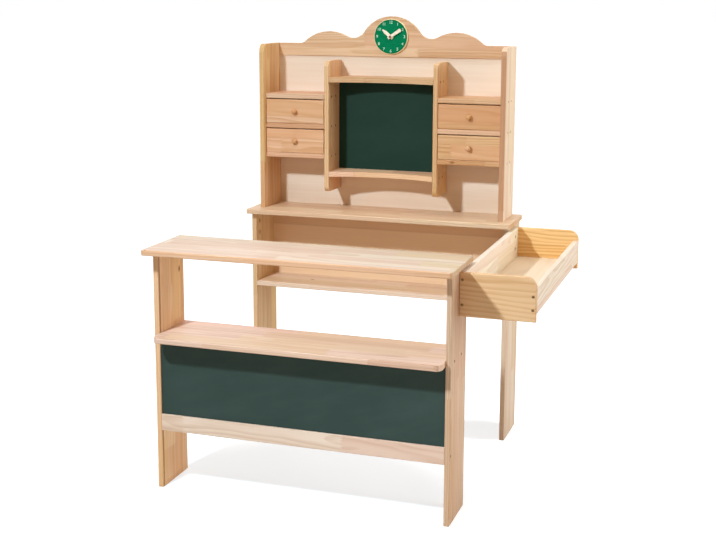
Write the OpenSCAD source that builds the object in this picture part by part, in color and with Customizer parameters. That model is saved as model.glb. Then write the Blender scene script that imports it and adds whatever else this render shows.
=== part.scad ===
// Toy market stall in pine: a front counter, a back base with a hutch, a side tray and a toy clock.
// Millimetres, +X to the right, +Y to the back, +Z up. The origin is on the floor, under the middle
// of the whole stall.

/* [Boards] */
// Thickness of the pine boards
board_t = 14; // [12:0.5:18]
// Rounding of the boards' long edges
edge_r = 2.5; // [1:0.5:4]
// Rounding of the counter top's and the worktop's corners, seen from above
top_corner_r = 6; // [3:1:15]

/* [Counter] */
// Width over the outer faces of the legs, the same for counter and base
stall_w = 760; // [700:5:860]
// Height of the legs, up to the undersides of counter top and worktop
leg_h = 607; // [560:1:660]
// Depth of the counter's legs
counter_d = 140; // [130:1:170]
// Overhang of the counter top past the legs' outer faces
top_side = 9; // [4:1:14]
// Overhang of the counter top to the front
top_front = 45; // [20:1:60]
// Overhang of the counter top to the back
top_back = 25; // [5:1:40]
// Height of the counter shelf's upper face
shelf_h = 403; // [360:1:440]
// How far the counter shelf stands out in front of the legs
shelf_front = 45; // [20:1:60]
// Rounding of the counter shelf's front corners
shelf_corner_r = 20; // [8:1:30]
// Height of the lower rail's underside
rail_low = 151; // [100:1:180]
// Height of the lower rail itself
rail_tall = 43; // [30:1:60]

/* [Chalkboards] */
// Thickness of the chalkboards
chalk_t = 4; // [3:0.5:5]
// Set-back of the counter chalkboard behind the legs' front edges
chalk_set = 5; // [3:0.5:7]
// Depth of the grooves that hold chalkboards, plywood back and tray floor
groove_d = 4; // [3:0.5:5]
// Play of a panel in its groove, on each side
groove_play = 0.2; // [0.1:0.05:0.4]

/* [Base] */
// Free space between counter legs and base legs
aisle = 474; // [400:2:560]
// Depth of the base legs
base_d = 149; // [140:1:180]
// Overhang of the worktop past the legs' outer faces
worktop_side = 7; // [4:1:14]
// Overhang of the worktop to the front
worktop_front = 27; // [10:1:40]
// Height of the base shelf's upper face
base_shelf_h = 404; // [360:1:440]
// Set-in of the base back panel from the legs' back edges
base_panel_set = 6; // [3:1:15]

/* [Hutch] */
// Set-in of the hutch sides from the outer faces of the legs
hutch_inset = 21; // [10:1:30]
// Depth of the hutch sides
hutch_d = 134; // [126:1:142]
// Height of the hutch sides above the worktop
hutch_h = 472; // [466:1:490]
// Rounding of the hutch sides' top front corners
side_corner_r = 25; // [10:1:40]
// Thickness of the plywood back
ply_t = 5; // [4:0.5:6]
// Set-in of the plywood from the hutch's back
ply_set = 4; // [3:0.5:5]
// Set-back of dividers, shelves and drawer fronts behind the sides' front edges
inner_set = 15; // [8:1:25]
// Middle of each divider, from the middle of the hutch
divider_x = 160; // [140:1:180]
// Height of the dividers' lower ends above the worktop
divider_low = 54; // [40:1:70]
// Gap between the dividers' upper ends and the crest's lower edge
divider_drop = 11; // [4:1:20]
// Rounding of the dividers' front corners
divider_r = 16; // [8:1:22]
// Height of the niche bottom shelf's underside above the worktop
niche_low = 98; // [90:1:110]
// Drop of the niche top shelf's upper face below the dividers' upper ends
niche_drop = 45; // [36:1:60]
// Depth of the hollow in the niche shelves' front edges
niche_hollow = 28; // [6:1:36]
// Length of the straight ends beside that hollow
niche_land = 5; // [2:1:20]
// Set-back of the niche chalkboard behind the dividers' front edges
niche_chalk_set = 91; // [80:1:96]
// Height of the lowest drawer shelf's underside above the worktop
drawers_low = 148; // [120:1:160]
// Height of the space for one drawer
drawer_bay = 71; // [60:0.5:80]

/* [Crest] */
// Height of the crest board at its shoulders
crest_tall = 35; // [26:1:39]
// Radius of the crest's middle dome
dome_r = 98; // [88:1:110]
// Height of the dome's top above the shoulders
dome_rise = 79; // [68:1:94]
// Radius of the two side humps
hump_r = 110; // [98:1:120]
// Middle of each side hump, from the middle of the hutch
hump_x = 189; // [180:1:198]
// Height of the humps' tops above the shoulders
hump_rise = 35; // [28:1:44]
// Radius of the valleys between dome and humps
valley_r = 43; // [36:1:52]
// Radius of the hollow where a hump runs out to the side
foot_r = 24; // [16:1:32]

/* [Drawers] */
// Gap beside a drawer, on each side
drawer_side_gap = 1.5; // [1:0.25:3]
// Gap above a drawer
drawer_top_gap = 2.5; // [2:0.25:6]
// Running gap under a drawer
drawer_run_gap = 0.3; // [0.3:0.1:0.8]
// Gap behind a drawer
drawer_back_gap = 4; // [2:0.5:10]
// Thickness of the drawer fronts
drawer_front_t = 12; // [10:0.5:16]
// Thickness of the drawer sides and backs
drawer_wall_t = 8; // [7:0.5:10]
// Thickness of the drawer bottoms
drawer_bottom_t = 3; // [2:0.5:4]
// Height of a drawer bottom's underside above the drawer's lower edge
drawer_bottom_up = 5; // [4:0.5:8]
// Height of the drawer sides and backs
drawer_wall_h = 54; // [40:1:58]
// Diameter of a knob
knob_d = 15; // [12:0.5:18]
// Diameter of a knob's neck
knob_neck_d = 8; // [6:0.5:10]
// Length of a knob in front of the drawer
knob_l = 15; // [12:0.5:18]
// Diameter of a knob's tenon
knob_tenon_d = 6; // [5:0.5:6]

/* [Tray] */
// Width of the tray
tray_w = 180; // [140:1:220]
// Set-back of the tray's front wall behind the counter's front edge
tray_start = 62; // [40:1:80]
// How far the tray reaches past the base legs' front edges
tray_reach = 72; // [60:1:110]
// Height of the tray's front, back and inner walls
tray_h = 105; // [95:1:120]
// Drop of the tray's top below the undersides of counter top and worktop
tray_drop = 7; // [2:1:10]
// Rounding of the front and back walls' top outer corners
tray_corner_r = 27; // [18:1:32]
// How far the outer wall's lower edge is above that of the front wall
tray_lift = 16; // [8:1:18]
// Thickness of the tray floor
tray_floor_t = 4; // [3:0.5:5]
// Height of the tray floor's underside above the outer wall's lower edge
tray_floor_up = 4; // [3:0.5:6]

/* [Clock] */
// Diameter of the clock dial
dial_d = 100; // [80:1:104]
// Thickness of the clock dial
dial_t = 8; // [5:0.5:10]
// Rounding of the dial's front edge
dial_edge_r = 2; // [1:0.5:3]
// Height of the clock's middle above the crest's shoulders
clock_rise = 22; // [18:1:26]
// Thickness of each hand
hand_t = 3; // [2:0.5:4]
// Width of each hand at its widest
hand_w = 9.5; // [8.5:0.5:11]
// Width of each hand's tail
hand_tail_w = 7; // [6.5:0.5:8]
// Length of the hour hand from the pivot
hour_l = 31; // [24:1:34]
// Length of the minute hand from the pivot
minute_l = 37; // [32:1:42]
// Length of each hand's tail behind the pivot
hand_tail = 8; // [6:0.5:10]
// Turn of the hour hand from twelve, clockwise
hour_turn = -51; // [-180:1:180]
// Turn of the minute hand from twelve, clockwise
minute_turn = 57; // [-180:1:180]
// Gap between dial, hands and pivot head
hand_gap = 0.5; // [0.4:0.1:1]
// Diameter of the pivot's pin
pivot_d = 4; // [3:0.5:4.5]
// Diameter of the pivot's head
pivot_head_d = 7; // [6:0.5:9]
// Height of the pivot's head
pivot_head_t = 2; // [1.5:0.5:3]
// Depth of the pivot's pin in the crest board
pivot_grip = 9; // [6:0.5:11]

/* [Fasteners] */
// Diameter of the wood screws' shanks
screw_d = 3.5; // [3:0.5:4.5]
// Diameter of the wood screws' heads
screw_head_d = 7; // [6:0.5:8]
// Height of the wood screws' conical heads
screw_head_h = 2; // [1.5:0.25:3]
// How far the wood screws' heads lie below the wood's face
screw_sunk = 1; // [0.5:0.25:1.5]
// Length of the wood screws
screw_l = 40; // [30:1:45]
// Length of the wood screws' points
screw_point = 6; // [4:1:8]
// Play of a screw, dowel, bolt or tenon in its hole, on each side
fit_play = 0.1; // [0.05:0.05:0.3]
// Diameter of the dowels
dowel_d = 8; // [6:0.5:8]
// Length of the dowels
dowel_l = 30; // [24:1:36]
// Depth of a dowel in the board whose face or edge it stands in
dowel_in = 9; // [7:0.5:10]
// Spare depth of a dowel hole, at each end
dowel_spare = 1; // [0.5:0.5:1.5]
// Diameter of the tray bolts
bolt_d = 6; // [5:0.5:8]
// Diameter of the bolt holes in legs and tray
bolt_hole_d = 6.4; // [6.2:0.1:8.6]
// Diameter of the tray bolts' countersunk heads
bolt_head_d = 11; // [10:0.5:13]
// Height of the tray bolts' countersunk heads
bolt_head_h = 3; // [2.5:0.5:4]
// Width across the flats of the nuts
nut_w = 10; // [9:0.5:13]
// Thickness of the nuts
nut_t = 5; // [4:0.5:6.5]
// Length of bolt past the nut
bolt_past = 2; // [1:0.5:4]
// Distance of the counter's bolt hole from the leg's back edge
counter_bolt_in = 26; // [20:1:40]
// Distance of the counter's bolt hole below the leg's top
counter_bolt_down = 63; // [50:1:80]
// Distance of the base's bolt holes from the leg's front edge
base_bolt_in = 25; // [20:1:35]
// Distance of the base's upper bolt hole below the leg's top
base_bolt_down = 27; // [25:1:40]
// Distance between the base's two bolt holes
base_bolt_pitch = 34; // [25:1:45]

/* [Hidden] */
$fn = 48;
cut = 1; // how far a cut reaches past the face that it opens

pine = "#e2c096";
pale_pine = "#ead2b0";
plywood = "#ecdabc";
chalk_green = "#2f4a40";
clock_green = "#0e8a55";
cream = "#f3ead6";
steel = "#8b8f93";
brass = "#7a5a48";

// Widths, from the middle of the legs
half_w = stall_w / 2;
leg_in = half_w - board_t;
hutch_out = half_w - hutch_inset;
hutch_in = hutch_out - board_t;
divider_out = divider_x + board_t / 2;
divider_in = divider_x - board_t / 2;
tray_out = half_w + tray_w;

// Depths, from the counter legs' front edges
base_y = counter_d + aisle;
base_back = base_y + base_d;
base_panel_y = base_back - base_panel_set - board_t;
hutch_y = base_back - hutch_d;
ply_y = base_back - ply_set - ply_t;
crest_y = base_back - board_t;
inner_y = hutch_y + inner_set;
inner_d = ply_y - inner_y;
niche_chalk_y = inner_y + niche_chalk_set;
tray_back = base_y + tray_reach;

// Heights, from the floor
worktop_z = leg_h + board_t;
shelf_low = shelf_h - board_t;
rail_top = rail_low + rail_tall;
base_shelf_low = base_shelf_h - board_t;
crest_low = hutch_h - crest_tall;
crest_z = worktop_z + crest_low;
divider_z = worktop_z + divider_low;
divider_top = crest_z - divider_drop;
divider_l = divider_top - divider_z;
niche_z = worktop_z + niche_low;
niche_floor = niche_z + board_t;
niche_ceiling = divider_top - niche_drop - board_t;
niche_h = niche_ceiling - niche_floor;
drawer_pitch = drawer_bay + board_t;
drawers_z = worktop_z + drawers_low;
clock_z = worktop_z + hutch_h + clock_rise;
tray_top = leg_h - tray_drop;
tray_low = tray_top - tray_h;
tray_outer_low = tray_low + tray_lift;
tray_outer_top = tray_top - tray_corner_r;
tray_floor_z = tray_outer_low + tray_floor_up;

// The stall's box, which puts the origin under its middle
box_left = -half_w - max(top_side, worktop_side);
box_right = tray_out;
box_front = -max(top_front, shelf_front);
box_middle = [(box_left + box_right) / 2, (box_front + base_back) / 2, 0];

// Drawers
drawer_w = hutch_in - divider_out - 2 * drawer_side_gap;
drawer_h = drawer_bay - drawer_top_gap - drawer_run_gap;
drawer_d = inner_d - drawer_back_gap;
drawer_x = (hutch_in + divider_out) / 2;
drawer_wall_d = drawer_d - drawer_front_t;
drawer_bottom_top = drawer_bottom_up + drawer_bottom_t;

// Clock, from the crest's front face towards the viewer
dial_face = crest_y - dial_t;
hour_back = dial_face - hand_gap;
minute_back = hour_back - hand_t - hand_gap;
pivot_head_back = minute_back - hand_t - hand_gap;

// Crest outline: the valley's circle bites a little into dome and hump, the foot's into hump and shoulder
bite = 0.1;
dome_top = hutch_h + dome_rise;
hump_top = hutch_h + hump_rise;
dome_c = [0, dome_top - dome_r];
hump_c = [hump_x, hump_top - hump_r];
valley_c = touching(dome_c, dome_r + valley_r - bite, hump_c, hump_r + valley_r - bite);
foot_rise = hutch_h + foot_r - bite - hump_c.y;
foot_c = [hump_x + sqrt(pow(hump_r + foot_r - bite, 2) - foot_rise * foot_rise), hutch_h + foot_r - bite];

// Screws lie in the middle of the board that they hold
drawer_screw_in = [26, 61];
counter_screw_in = [30, 94];
base_screw_in = [30, 100];
base_panel_screw_down = 50;
base_panel_screw_up = 53;
tray_lower_screw = 28;
tray_inner_screw = 88;
tray_outer_screw = 60;
dowel_ends = 28;

// The upper point at distance ra from a and rb from b
function touching(a, ra, b, rb) =
    let (span = norm(b - a), way = (b - a) / span)
    let (along = (ra * ra - rb * rb + span * span) / (2 * span))
    let (off = sqrt(ra * ra - along * along))
    a + along * way + off * [-way.y, way.x];

// Shapes that the pieces share

module placed() {
    translate(-box_middle) children();
}

module on_both_sides() {
    children();
    mirror([1, 0, 0]) children();
}

module rounded_rect(size, r) {
    translate([r, 0]) square([size.x - 2 * r, size.y]);
    translate([0, r]) square([size.x, size.y - 2 * r]);
    for (x = [r, size.x - r], y = [r, size.y - r])
        translate([x, y]) circle(r);
}

// Outlines drawn in Y and Z and pushed along X, or in X and Z and pushed along Y
module along_x(length) {
    rotate([90, 0, 90]) linear_extrude(length) children();
}

module along_y(length) {
    translate([0, length, 0]) rotate([90, 0, 0]) linear_extrude(length) children();
}

// Boards with eased long edges, whose grain runs along X, Y or Z
module board_x(at, size) {
    translate(at) along_x(size.x) rounded_rect([size.y, size.z], edge_r);
}

module board_y(at, size) {
    translate(at) along_y(size.y) rounded_rect([size.x, size.z], edge_r);
}

module board_z(at, size) {
    translate(at) linear_extrude(size.z) rounded_rect([size.x, size.y], edge_r);
}

// A table top with eased edges all round and round corners
module table_top(at, size) {
    translate(at) intersection() {
        board_x([0, 0, 0], size);
        board_y([0, 0, 0], size);
        linear_extrude(size.z) rounded_rect([size.x, size.y], top_corner_r);
    }
}

// A panel's groove: the panel's own box with play
module groove(at, size) {
    play = [groove_play, groove_play, groove_play];
    translate(at - play) cube(size + 2 * play);
}

// Fasteners, drawn along +Z from the face that their heads lie in

module wood_screw() {
    translate([0, 0, screw_sunk]) rotate_extrude() polygon([
        [0, 0], [screw_head_d / 2, 0], [screw_d / 2, screw_head_h],
        [screw_d / 2, screw_l - screw_point], [0, screw_l]
    ]);
}

module screw_hole() {
    mouth = -screw_sunk - cut;
    translate([0, 0, screw_sunk]) rotate_extrude() polygon([
        [0, mouth], [screw_head_d / 2 + fit_play, mouth], [screw_head_d / 2 + fit_play, fit_play],
        [screw_d / 2 + fit_play, screw_head_h + fit_play],
        [screw_d / 2 + fit_play, screw_l + fit_play], [0, screw_l + fit_play]
    ]);
}

module dowel() {
    cylinder(d = dowel_d, h = dowel_l);
}

module dowel_hole() {
    translate([0, 0, -dowel_spare]) cylinder(d = dowel_d + 2 * fit_play, h = dowel_l + 2 * dowel_spare);
}

module tray_bolt() {
    grip = 2 * board_t;
    rotate_extrude() polygon([
        [0, 0], [bolt_head_d / 2, 0], [bolt_d / 2, bolt_head_h], [bolt_d / 2, grip + nut_t + bolt_past],
        [0, grip + nut_t + bolt_past]
    ]);
}

module bolt_hole() {
    rotate_extrude() polygon([
        [0, -cut], [bolt_head_d / 2 + fit_play, -cut], [bolt_head_d / 2 + fit_play, fit_play],
        [bolt_hole_d / 2, bolt_head_h], [bolt_hole_d / 2, 2 * board_t + cut], [0, 2 * board_t + cut]
    ]);
}

module nut() {
    difference() {
        cylinder(d = nut_w / cos(30), h = nut_t, $fn = 6);
        translate([0, 0, -cut]) cylinder(d = bolt_d + 2 * fit_play, h = nut_t + 2 * cut);
    }
}

// Places of the fasteners, each turned so that +Z points into the wood

module from_right() {
    rotate([0, -90, 0]) children();
}

module counter_screw_places() {
    on_both_sides() {
        for (y = counter_screw_in)
            translate([half_w, y, shelf_h - board_t / 2]) from_right() children();
        translate([half_w, board_t / 2, rail_low + rail_tall / 2]) from_right() children();
    }
}

module base_screw_places() {
    on_both_sides() {
        for (y = base_screw_in)
            translate([half_w, base_y + y, base_shelf_h - board_t / 2]) from_right() children();
        for (z = [base_shelf_h + base_panel_screw_up, leg_h - base_panel_screw_down])
            translate([half_w, base_panel_y + board_t / 2, z]) from_right() children();
    }
}

module side_screw_places() {
    on_both_sides() for (row = [0:2], y = drawer_screw_in)
        translate([hutch_out, inner_y + y, drawers_z + row * drawer_pitch + board_t / 2])
            from_right() children();
}

// From the niche into the drawer shelves
module shelf_screw_places() {
    on_both_sides() for (row = [0:2], y = drawer_screw_in)
        translate([divider_in, inner_y + y, drawers_z + row * drawer_pitch + board_t / 2])
            rotate([0, 90, 0]) children();
}

// From the outside into the niche shelves
module niche_screw_places() {
    on_both_sides() for (z = [niche_floor - board_t / 2, niche_ceiling + board_t / 2], y = drawer_screw_in)
        translate([divider_out, inner_y + y, z]) from_right() children();
}

module tray_screw_places() {
    wall_ends = [
        [half_w + board_t / 2, tray_lower_screw], [half_w + board_t / 2, tray_inner_screw],
        [tray_out - board_t / 2, tray_lower_screw], [tray_out - board_t / 2, tray_outer_screw]
    ];
    for (place = wall_ends) {
        translate([place.x, tray_start, tray_low + place.y]) rotate([-90, 0, 0]) children();
        translate([place.x, tray_back, tray_low + place.y]) rotate([90, 0, 0]) children();
    }
}

// Bolt places on the outer faces of the right legs
module bolt_places() {
    translate([half_w, counter_d - counter_bolt_in, leg_h - counter_bolt_down]) children();
    for (step = [0, 1])
        translate([half_w, base_y + base_bolt_in, leg_h - base_bolt_down - step * base_bolt_pitch])
            children();
}

module tray_bolt_places() {
    bolt_places() translate([board_t, 0, 0]) from_right() children();
}

// The open holes in the left legs, where the tray can hang instead
module spare_holes() {
    mirror([1, 0, 0]) bolt_places() translate([cut, 0, 0]) from_right()
        cylinder(d = bolt_hole_d, h = board_t + 2 * cut);
}

module dowel_places() {
    on_both_sides() {
        leg_x = half_w - board_t / 2;
        side_x = hutch_out - board_t / 2;
        up_into_top = leg_h + dowel_in - dowel_l;
        for (y = [dowel_ends, counter_d - dowel_ends])
            translate([leg_x, y, up_into_top]) children();
        for (y = [dowel_ends, base_d - dowel_ends])
            translate([leg_x, base_y + y, up_into_top]) children();
        for (y = [dowel_ends, hutch_d - dowel_ends])
            translate([side_x, hutch_y + y, worktop_z - dowel_in]) children();
        translate([hutch_in + dowel_in, crest_y + board_t / 2, (crest_z + worktop_z + hutch_h) / 2])
            from_right() children();
    }
}

// Counter

module counter_leg() {
    difference() {
        board_z([leg_in, 0, 0], [board_t, counter_d, leg_h]);
        counter_chalk_groove();
        counter_screw_places() screw_hole();
        dowel_places() dowel_hole();
    }
}

module counter_chalk(grow, slot = false) {
    at = [-leg_in - grow, chalk_set, rail_top - grow];
    size = [2 * (leg_in + grow), chalk_t, shelf_low - rail_top + 2 * grow];
    if (slot) groove(at, size);
    else translate(at) cube(size);
}

module counter_chalk_groove() {
    counter_chalk(groove_d - groove_play, slot = true);
}

module counter_left_leg() {
    color(pine) placed() difference() {
        mirror([1, 0, 0]) counter_leg();
        spare_holes();
    }
}

module counter_right_leg() {
    color(pine) placed() difference() {
        counter_leg();
        tray_bolt_places() bolt_hole();
    }
}

module counter_top() {
    size = [stall_w + 2 * top_side, counter_d + top_front + top_back, board_t];
    color(pale_pine) placed() difference() {
        table_top([-size.x / 2, -top_front, leg_h], size);
        dowel_places() dowel_hole();
    }
}

module counter_shelf() {
    size = [2 * leg_in, counter_d + shelf_front, board_t];
    color(pine) placed() difference() {
        translate([-leg_in, -shelf_front, shelf_low]) intersection() {
            board_x([0, 0, 0], size);
            linear_extrude(board_t) {
                rounded_rect([size.x, 3 * shelf_corner_r], shelf_corner_r);
                translate([0, shelf_corner_r]) square([size.x, size.y - shelf_corner_r]);
            }
        }
        counter_chalk_groove();
        counter_screw_places() screw_hole();
    }
}

module counter_chalkboard() {
    color(chalk_green) placed() counter_chalk(groove_d - groove_play);
}

module counter_rail() {
    color(pine) placed() difference() {
        board_x([-leg_in, 0, rail_low], [2 * leg_in, board_t, rail_tall]);
        counter_chalk_groove();
        counter_screw_places() screw_hole();
    }
}

// Base

module base_leg() {
    difference() {
        board_z([leg_in, base_y, 0], [board_t, base_d, leg_h]);
        base_screw_places() screw_hole();
        dowel_places() dowel_hole();
    }
}

module base_left_leg() {
    color(pine) placed() difference() {
        mirror([1, 0, 0]) base_leg();
        spare_holes();
    }
}

module base_right_leg() {
    color(pine) placed() difference() {
        base_leg();
        tray_bolt_places() bolt_hole();
    }
}

module worktop() {
    size = [stall_w + 2 * worktop_side, base_d + worktop_front, board_t];
    color(pale_pine) placed() difference() {
        table_top([-size.x / 2, base_y - worktop_front, leg_h], size);
        dowel_places() dowel_hole();
    }
}

module base_shelf() {
    color(pine) placed() difference() {
        board_x([-leg_in, base_y, base_shelf_low], [2 * leg_in, base_panel_y + board_t - base_y, board_t]);
        base_screw_places() screw_hole();
    }
}

module base_back_panel() {
    color(pine) placed() difference() {
        translate([-leg_in, base_panel_y, base_shelf_h]) cube([2 * leg_in, board_t, leg_h - base_shelf_h]);
        base_screw_places() screw_hole();
    }
}

// Hutch

module hutch_side() {
    difference() {
        intersection() {
            board_z([hutch_in, hutch_y, worktop_z], [board_t, hutch_d, hutch_h]);
            translate([hutch_in, hutch_y, worktop_z]) along_x(board_t) {
                square([hutch_d, hutch_h - side_corner_r]);
                translate([side_corner_r, 0]) square([hutch_d - side_corner_r, hutch_h]);
                translate([side_corner_r, hutch_h - side_corner_r]) circle(side_corner_r);
            }
        }
        hutch_ply_groove();
        side_screw_places() screw_hole();
        dowel_places() dowel_hole();
    }
}

module hutch_ply(grow, slot = false) {
    at = [-hutch_in - grow, ply_y, worktop_z];
    size = [2 * (hutch_in + grow), ply_t, crest_low + grow];
    if (slot) groove(at, size);
    else translate(at) cube(size);
}

module hutch_ply_groove() {
    hutch_ply(groove_d - groove_play, slot = true);
}

module hutch_left_side() {
    color(pine) placed() mirror([1, 0, 0]) hutch_side();
}

module hutch_right_side() {
    color(pine) placed() hutch_side();
}

module hutch_back() {
    color(plywood) placed() hutch_ply(groove_d - groove_play);
}

module crest_outline() {
    difference() {
        intersection() {
            translate([-hutch_in, crest_low]) square([2 * hutch_in, dome_top - crest_low + cut]);
            union() {
                translate([-hutch_in, crest_low - cut]) square([2 * hutch_in, hutch_h - crest_low + cut]);
                translate(dome_c) circle(dome_r);
                for (side = [-1, 1]) scale([side, 1]) {
                    translate(hump_c) circle(hump_r);
                    polygon([dome_c, hump_c, valley_c]);
                    polygon([hump_c, [foot_c.x, hump_c.y], foot_c]);
                }
            }
        }
        for (side = [-1, 1]) scale([side, 1]) {
            translate(valley_c) circle(valley_r);
            translate(foot_c) circle(foot_r);
        }
    }
}

module crest_board() {
    color(pine) placed() difference() {
        translate([0, crest_y, worktop_z]) along_y(board_t) crest_outline();
        hutch_ply_groove();
        dowel_places() dowel_hole();
        pivot_place() cylinder(d = pivot_d + 2 * fit_play, h = pivot_grip + dowel_spare);
    }
}

module divider() {
    difference() {
        intersection() {
            board_z([divider_in, inner_y, divider_z], [board_t, inner_d, divider_l]);
            translate([divider_in, inner_y, divider_z]) along_x(board_t) {
                rounded_rect([3 * divider_r, divider_l], divider_r);
                translate([divider_r, 0]) square([inner_d - divider_r, divider_l]);
            }
        }
        niche_chalk_groove();
        shelf_screw_places() screw_hole();
        niche_screw_places() screw_hole();
    }
}

module left_divider() {
    color(pine) placed() mirror([1, 0, 0]) divider();
}

module right_divider() {
    color(pine) placed() divider();
}

module niche_chalk(grow, slot = false) {
    at = [-divider_in - grow, niche_chalk_y, niche_floor - grow];
    size = [2 * (divider_in + grow), chalk_t, niche_h + 2 * grow];
    if (slot) groove(at, size);
    else translate(at) cube(size);
}

module niche_chalk_groove() {
    niche_chalk(groove_d - groove_play, slot = true);
}

// The front edge is hollow: an arc between two short straight ends
module niche_shelf(z) {
    half = divider_in - niche_land;
    hollow_r = (half * half + niche_hollow * niche_hollow) / (2 * niche_hollow);
    difference() {
        translate([0, inner_y, z]) linear_extrude(board_t) difference() {
            translate([-divider_in, 0]) square([2 * divider_in, inner_d]);
            translate([0, niche_hollow - hollow_r]) circle(hollow_r, $fn = 360);
        }
        niche_chalk_groove();
        niche_screw_places() screw_hole();
    }
}

module niche_top_shelf() {
    color(pine) placed() niche_shelf(niche_ceiling);
}

module niche_bottom_shelf() {
    color(pine) placed() niche_shelf(niche_z);
}

module niche_chalkboard() {
    color(chalk_green) placed() niche_chalk(groove_d - groove_play);
}

// Row 0 is the lowest
module drawer_shelf(side, row) {
    color(pine) placed() scale([side, 1, 1]) difference() {
        board_x([divider_out, inner_y, drawers_z + row * drawer_pitch],
                [hutch_in - divider_out, inner_d, board_t]);
        side_screw_places() screw_hole();
        shelf_screw_places() screw_hole();
    }
}

module left_top_shelf() {
    drawer_shelf(-1, 2);
}

module left_middle_shelf() {
    drawer_shelf(-1, 1);
}

module left_bottom_shelf() {
    drawer_shelf(-1, 0);
}

module right_top_shelf() {
    drawer_shelf(1, 2);
}

module right_middle_shelf() {
    drawer_shelf(1, 1);
}

module right_bottom_shelf() {
    drawer_shelf(1, 0);
}

// Drawers, drawn about the middle of a drawer's lower front edge

module in_drawer_bay(side, row) {
    floor_z = drawers_z + row * drawer_pitch + board_t + drawer_run_gap;
    placed() translate([side * drawer_x, inner_y, floor_z]) children();
}

module drawer_panel(grow, slot = false) {
    inside_w = drawer_w - 2 * drawer_wall_t;
    at = [-inside_w / 2 - grow, drawer_front_t - grow, drawer_bottom_up];
    size = [inside_w + 2 * grow, drawer_wall_d + grow, drawer_bottom_t];
    if (slot) groove(at, size);
    else translate(at) cube(size);
}

module drawer_groove() {
    drawer_panel(groove_d - groove_play, slot = true);
}

module drawer_front(side, row) {
    color(pine) in_drawer_bay(side, row) difference() {
        board_x([-drawer_w / 2, 0, 0], [drawer_w, drawer_front_t, drawer_h]);
        drawer_groove();
        translate([0, -cut, drawer_h / 2]) rotate([-90, 0, 0])
            cylinder(d = knob_tenon_d + 2 * fit_play, h = drawer_front_t + 2 * cut);
    }
}

// Two sides and, between them above the bottom, the back
module drawer_walls(side, row) {
    back_w = drawer_w - 2 * drawer_wall_t;
    color(pale_pine) in_drawer_bay(side, row) {
        on_both_sides() difference() {
            translate([drawer_w / 2 - drawer_wall_t, drawer_front_t, 0])
                cube([drawer_wall_t, drawer_wall_d, drawer_wall_h]);
            drawer_groove();
        }
        translate([-back_w / 2, drawer_d - drawer_wall_t, drawer_bottom_top + groove_play])
            cube([back_w, drawer_wall_t, drawer_wall_h - drawer_bottom_top - groove_play]);
    }
}

module drawer_bottom(side, row) {
    color(plywood) in_drawer_bay(side, row) drawer_panel(groove_d - groove_play);
}

// Turned: a tenon in the drawer front, a neck and a flattened ball
module drawer_knob(side, row) {
    ball_r = knob_d / 2;
    color(pale_pine) in_drawer_bay(side, row) translate([0, 0, drawer_h / 2]) rotate([90, 0, 0]) {
        translate([0, 0, -drawer_front_t]) cylinder(d = knob_tenon_d, h = drawer_front_t + cut);
        cylinder(d = knob_neck_d, h = knob_l - ball_r);
        rotate_extrude() intersection() {
            translate([0, knob_l - ball_r]) circle(ball_r);
            square([ball_r, knob_l]);
        }
    }
}

// Tray

module tray_panel(grow, slot = false) {
    at = [half_w + board_t - grow, tray_start + board_t - grow, tray_floor_z];
    size = [tray_w - 2 * board_t + 2 * grow, tray_back - tray_start - 2 * board_t + 2 * grow, tray_floor_t];
    if (slot) groove(at, size);
    else translate(at) cube(size);
}

module tray_groove() {
    tray_panel(groove_d - groove_play, slot = true);
}

module tray_end_wall(y) {
    difference() {
        translate([half_w, y, tray_low]) intersection() {
            board_x([0, 0, 0], [tray_w, board_t, tray_h]);
            board_z([0, 0, 0], [tray_w, board_t, tray_h]);
            along_y(board_t) {
                square([tray_w, tray_h - tray_corner_r]);
                square([tray_w - tray_corner_r, tray_h]);
                translate([tray_w - tray_corner_r, tray_h - tray_corner_r]) circle(tray_corner_r);
            }
        }
        tray_groove();
        tray_screw_places() screw_hole();
    }
}

module tray_front() {
    color(pale_pine) placed() tray_end_wall(tray_start);
}

module tray_back() {
    color(pine) placed() tray_end_wall(tray_back - board_t);
}

module tray_inner_wall() {
    color(pale_pine) placed() difference() {
        board_y(
            [half_w, tray_start + board_t, tray_low],
            [board_t, tray_back - tray_start - 2 * board_t, tray_h]
        );
        tray_groove();
        tray_screw_places() screw_hole();
        tray_bolt_places() bolt_hole();
    }
}

module tray_outer_wall() {
    color(pale_pine) placed() difference() {
        board_y([tray_out - board_t, tray_start + board_t, tray_outer_low],
                [board_t, tray_back - tray_start - 2 * board_t, tray_outer_top - tray_outer_low]);
        tray_groove();
        tray_screw_places() screw_hole();
    }
}

module tray_floor() {
    color(plywood) placed() tray_panel(groove_d - groove_play);
}

// Clock

// On the clock's axis at the crest's front face, with +Z to the back and +Y down
module pivot_place() {
    translate([0, crest_y, clock_z]) rotate([-90, 0, 0]) children();
}

module clock_dial() {
    color(clock_green) placed() pivot_place() translate([0, 0, -dial_t]) difference() {
        rotate_extrude() {
            translate([0, dial_edge_r]) square([dial_d / 2, dial_t - dial_edge_r]);
            square([dial_d / 2 - dial_edge_r, dial_t]);
            translate([dial_d / 2 - dial_edge_r, dial_edge_r]) circle(dial_edge_r);
        }
        translate([0, 0, -cut]) cylinder(d = pivot_d + 2 * fit_play, h = dial_t + 2 * cut);
    }
}

// A flat hand, whose outline points along -Y before it is turned
module hand(turn, back) {
    placed() translate([0, back - hand_t, clock_z]) rotate([-90, 0, 0]) rotate(turn)
        linear_extrude(hand_t) difference() {
            children();
            circle(d = pivot_d + 2 * hand_gap);
        }
}

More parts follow.
